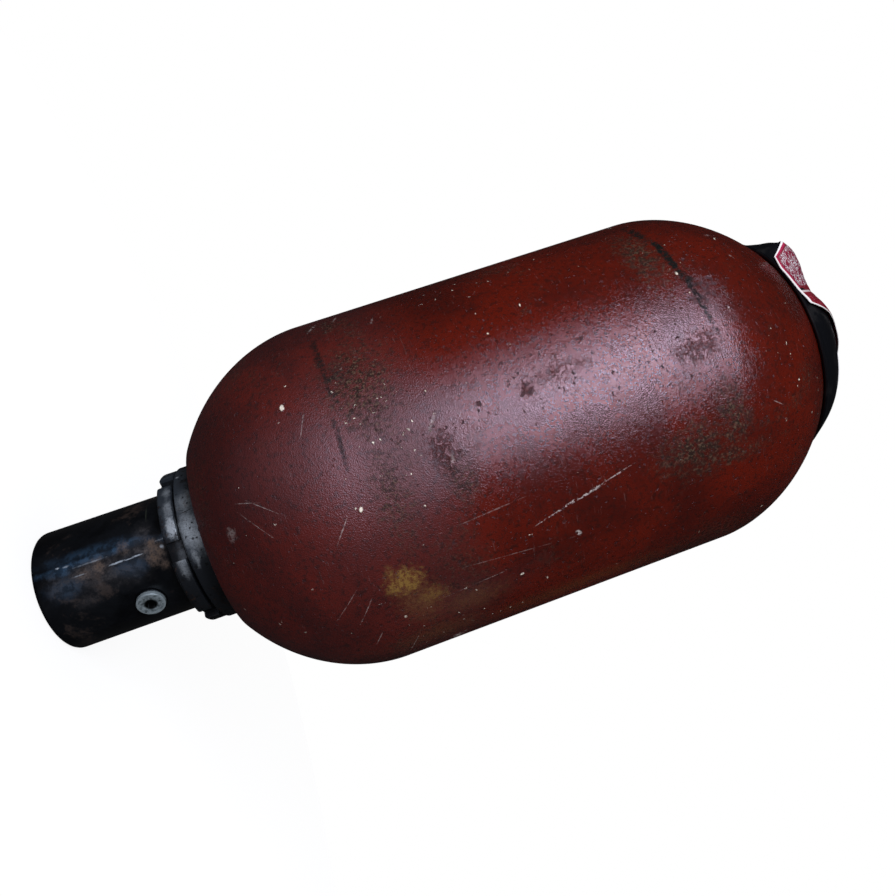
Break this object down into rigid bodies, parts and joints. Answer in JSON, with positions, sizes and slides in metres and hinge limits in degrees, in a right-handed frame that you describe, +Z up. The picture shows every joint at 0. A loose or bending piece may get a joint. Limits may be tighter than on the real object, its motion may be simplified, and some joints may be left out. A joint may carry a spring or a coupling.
{
  "type": "bladder accumulator",
  "caption": "Hydraulic bladder accumulator: forged steel shell, rubber bladder, sprung poppet valve in a threaded fluid port, and a capped gas valve.",
  "frame": {"origin": "centre of the fluid port's end face", "axes": "+Z up along the axis, from the fluid port to the gas end; -Y is the side that the picture shows"},
  "size_m": [0.229, 0.229, 0.5407],
  "materials": {
    "shell_paint": "dark oxide-red satin paint, worn, scuffed and grimy",
    "blued_steel": "black-oxide turned steel with brown rust bloom",
    "nut_steel": "bare steel, darkened and pitted",
    "zinc_plate": "bright zinc plate",
    "machined_steel": "oiled machined steel",
    "spring_steel": "dark shot-peened spring wire",
    "bronze_bush": "machined bronze",
    "valve_brass": "machined brass",
    "ptfe_white": "pressed white plastic ring",
    "seal_rubber": "moulded black rubber",
    "bladder_rubber": "moulded black rubber, talc dusted",
    "cap_rubber": "soft black moulding, satin, slightly crushed",
    "label_film": "red printed foil label with a silver field and a white edge, creased and lifting"
  },
  "bodies": {
    "vessel": {"shell": "shell_paint", "bladder": "bladder_rubber", "port_body": "blued_steel", "bleed_screw": "zinc_plate", "bleed_seal_ring": "machined_steel", "slotted_lock_nut": "nut_steel", "spacer_ring": "nut_steel", "back_up_ring": "ptfe_white", "port_o_ring": "seal_rubber", "port_washer": "machined_steel", "anti_extrusion_half_back": "machined_steel", "anti_extrusion_half_front": "machined_steel", "anti_extrusion_band": "seal_rubber", "poppet_spring": "spring_steel", "gas_valve_stem": "machined_steel", "stem_seal_ring": "seal_rubber", "stem_lock_nut": "zinc_plate", "gas_valve_core": "valve_brass", "core_spring": "spring_steel", "valve_seal_cap": "zinc_plate", "seal_cap_o_ring": "seal_rubber", "protective_cap": "cap_rubber", "cap_label": "label_film"},
    "poppet_assembly": {"poppet": "machined_steel", "damping_bush": "bronze_bush", "poppet_lock_nut": "zinc_plate"},
    "valve_pin": {"gas_valve_pin": "valve_brass"}
  },
  "joints": [
    {"name": "poppet_slide", "type": "slide", "parent": "vessel", "child": "poppet_assembly", "axis": [0, 0, 1], "range_m": [-0.012, 0], "stiffness_N_per_m": 5460, "springref_m": 0.0065, "deforming": ["poppet_spring"]},
    {"name": "pin_slide", "type": "slide", "parent": "vessel", "child": "valve_pin", "axis": [0, 0, 1], "range_m": [-0.0012, 0], "stiffness_N_per_m": 300, "springref_m": 0.002, "deforming": ["core_spring"]}
  ]
}
